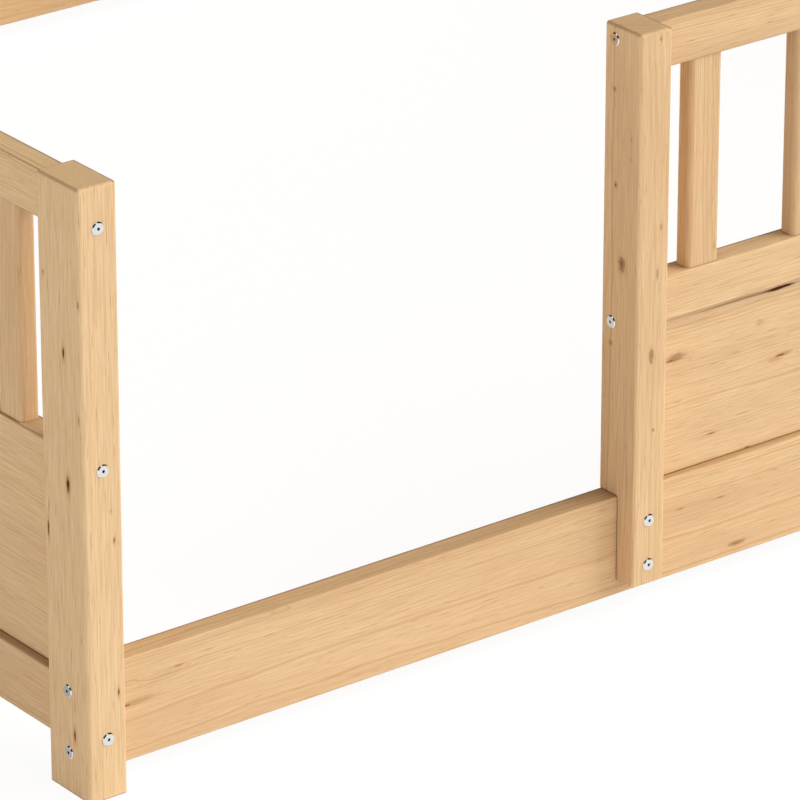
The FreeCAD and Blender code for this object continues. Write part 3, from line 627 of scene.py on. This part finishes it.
# Soft lights, as broad as this angle in degrees: name, strength, the way the light goes, and tint.
SOFTBOX_ANGLE = 40
SOFTBOXES = (
    ("right_softbox", 1.85, (-0.734, 0.424, -0.53), "#FFFCF6"),
    ("upper_softbox", 0.7, (-0.287, 0.497, -0.819), "#FFEAB4"),
    ("front_softbox", 0.82, (0, 0.978, -0.208), "#F8FBFF"),
    ("left_softbox", 1.06, (0.978, 0, -0.208), "#FFFBF2"),
    ("back_softbox", 1.6, (-0.3, -0.94, -0.14), "#FFFFFF"))
# The camera stands far off on the front left, turned from +Y towards +X and tilted down, in degrees.
CAMERA_PLACE = (-3.57166, -4.50042, 2.37806)
CAMERA_TURN = 37.4715
CAMERA_TILT = 24.0403
CAMERA_LENS = 287.52
CAMERA_SENSOR = 36
CAMERA_CLIP_END = 200


def make_floor():
    bpy.ops.object.select_all(action="DESELECT")
    bpy.ops.mesh.primitive_circle_add(vertices=96, radius=FLOOR_RADIUS, fill_type="NGON",
                                      location=(0, 0, 0))
    floor = bpy.context.object
    floor.name = "studio_floor"
    material, tree, shader = new_material("white_studio_floor")
    tree.nodes.remove(shader)
    path = add(tree, "ShaderNodeLightPath")
    clear = add(tree, "ShaderNodeMath",
                {0: path.outputs["Is Camera Ray"], 1: path.outputs["Is Transmission Ray"]},
                operation="MAXIMUM")
    seen = add(tree, "ShaderNodeMath", {0: clear.outputs[0], 1: path.outputs["Is Glossy Ray"]},
               operation="MAXIMUM")
    share = add(tree, "ShaderNodeMath", {0: seen.outputs[0], 1: FLOOR_WHITE}, operation="MULTIPLY")
    # Painted shade of the bed on the floor, seen only where metal mirrors it.
    coordinates = add(tree, "ShaderNodeTexCoord")
    apart = add(tree, "ShaderNodeSeparateXYZ", {0: coordinates.outputs["Object"]})
    left = add(tree, "ShaderNodeMapRange",
               {"Value": apart.outputs["X"], "From Min": SHADE_LEFT[0], "From Max": SHADE_LEFT[1],
                "To Min": 1, "To Max": 0})
    behind = add(tree, "ShaderNodeMapRange",
                 {"Value": apart.outputs["Y"], "From Min": SHADE_FRONT[0], "From Max": SHADE_FRONT[1]})
    painted_bed_shade = add(tree, "ShaderNodeMath", {0: left.outputs[0], 1: behind.outputs[0]}, operation="MULTIPLY")
    dimmed = add(tree, "ShaderNodeMapRange",
                 {"Value": painted_bed_shade.outputs[0], "To Min": MIRRORED_DIM, "To Max": MIRRORED_SHADE})
    mirrored = add(tree, "ShaderNodeMath", {0: path.outputs["Is Glossy Ray"], 1: dimmed.outputs[0]},
                   operation="MULTIPLY")
    level = add(tree, "ShaderNodeMath", {0: FLOOR_GLOW, 1: mirrored.outputs[0]}, operation="SUBTRACT")
    paint = add(tree, "ShaderNodeBsdfDiffuse", {"Color": srgb("#F2F2F2")})
    glow = add(tree, "ShaderNodeEmission", {"Color": srgb("#FFFFFF"), "Strength": level.outputs[0]})
    mixed = add(tree, "ShaderNodeMixShader",
                {0: share.outputs[0], 1: paint.outputs[0], 2: glow.outputs[0]})
    tree.links.new(mixed.outputs[0], tree.nodes["Material Output"].inputs["Surface"])
    floor.data.materials.append(material)


def make_world():
    """Pale walls under a dark ceiling. Metal mirrors a painted copy of them, with two painted glints in
    that ceiling which light nothing.
    """
    world = bpy.context.scene.world or bpy.data.worlds.new("studio")
    bpy.context.scene.world = world
    world.use_nodes = True
    tree = world.node_tree
    tree.nodes.clear()
    path = add(tree, "ShaderNodeLightPath")
    direction = add(tree, "ShaderNodeTexCoord").outputs["Generated"]
    apart = add(tree, "ShaderNodeSeparateXYZ", {0: direction})
    level = add(tree, "ShaderNodeMapRange",
                {"Value": apart.outputs["Z"], "From Max": WALL_TOP, "To Min": WALL_GLOW, "To Max": 0})
    # Painted reflections: what metal mirrors is set apart from what lights the scene, with glints that
    # light nothing.
    mirrored = add(tree, "ShaderNodeMapRange",
                   {"Value": apart.outputs["Z"], "From Min": CEILING_EDGE[0], "From Max": CEILING_EDGE[1],
                    "To Min": MIRRORED_WALL, "To Max": MIRRORED_CEILING}).outputs[0]
    for lamp in PAINTED_GLINTS:
        towards = add(tree, "ShaderNodeVectorMath", {0: direction, 1: lamp}, operation="DOT_PRODUCT")
        spot = add(tree, "ShaderNodeMapRange",
                   {"Value": towards.outputs["Value"], "From Min": PAINTED_GLINT_EDGE[0], "From Max": PAINTED_GLINT_EDGE[1]})
        mirrored = add(tree, "ShaderNodeMath", {0: mirrored, 1: spot.outputs[0]},
                       operation="MAXIMUM").outputs[0]
    soft = add(tree, "ShaderNodeBackground", {"Color": srgb("#FFFFFF"), "Strength": level.outputs[0]})
    studio = add(tree, "ShaderNodeBackground", {"Color": srgb("#FFFFFF"), "Strength": mirrored})
    white = add(tree, "ShaderNodeBackground", {"Color": srgb("#FFFFFF"), "Strength": 1})
    lit = add(tree, "ShaderNodeMixShader",
              {0: path.outputs["Is Glossy Ray"], 1: soft.outputs[0], 2: studio.outputs[0]})
    seen = add(tree, "ShaderNodeMixShader",
               {0: path.outputs["Is Camera Ray"], 1: lit.outputs[0], 2: white.outputs[0]})
    add(tree, "ShaderNodeOutputWorld", {"Surface": seen.outputs[0]}).is_active_output = True


def make_softbox(name, energy, direction, tint):
    lamp = bpy.data.lights.new(name, "SUN")
    lamp.energy = energy
    lamp.color = srgb(tint)[:3]
    lamp.angle = math.radians(SOFTBOX_ANGLE)
    softbox = bpy.data.objects.new(name, lamp)
    bpy.context.scene.collection.objects.link(softbox)
    # Metal mirrors the painted glints of the world instead.
    softbox.visible_glossy = False
    softbox.rotation_euler = Vector(direction).to_track_quat("-Z", "Y").to_euler()


def make_camera():
    data = bpy.data.cameras.new("photo_camera")
    data.sensor_width = CAMERA_SENSOR
    data.lens = CAMERA_LENS
    data.clip_end = CAMERA_CLIP_END
    camera = bpy.data.objects.new("photo_camera", data)
    bpy.context.scene.collection.objects.link(camera)
    camera.location = CAMERA_PLACE
    camera.rotation_euler = (math.radians(90 - CAMERA_TILT), 0, math.radians(-CAMERA_TURN))
    bpy.context.scene.camera = camera


make_floor()
make_world()
for softbox in SOFTBOXES:
    make_softbox(*softbox)
make_camera()
bpy.context.scene.view_settings.view_transform = "Standard"
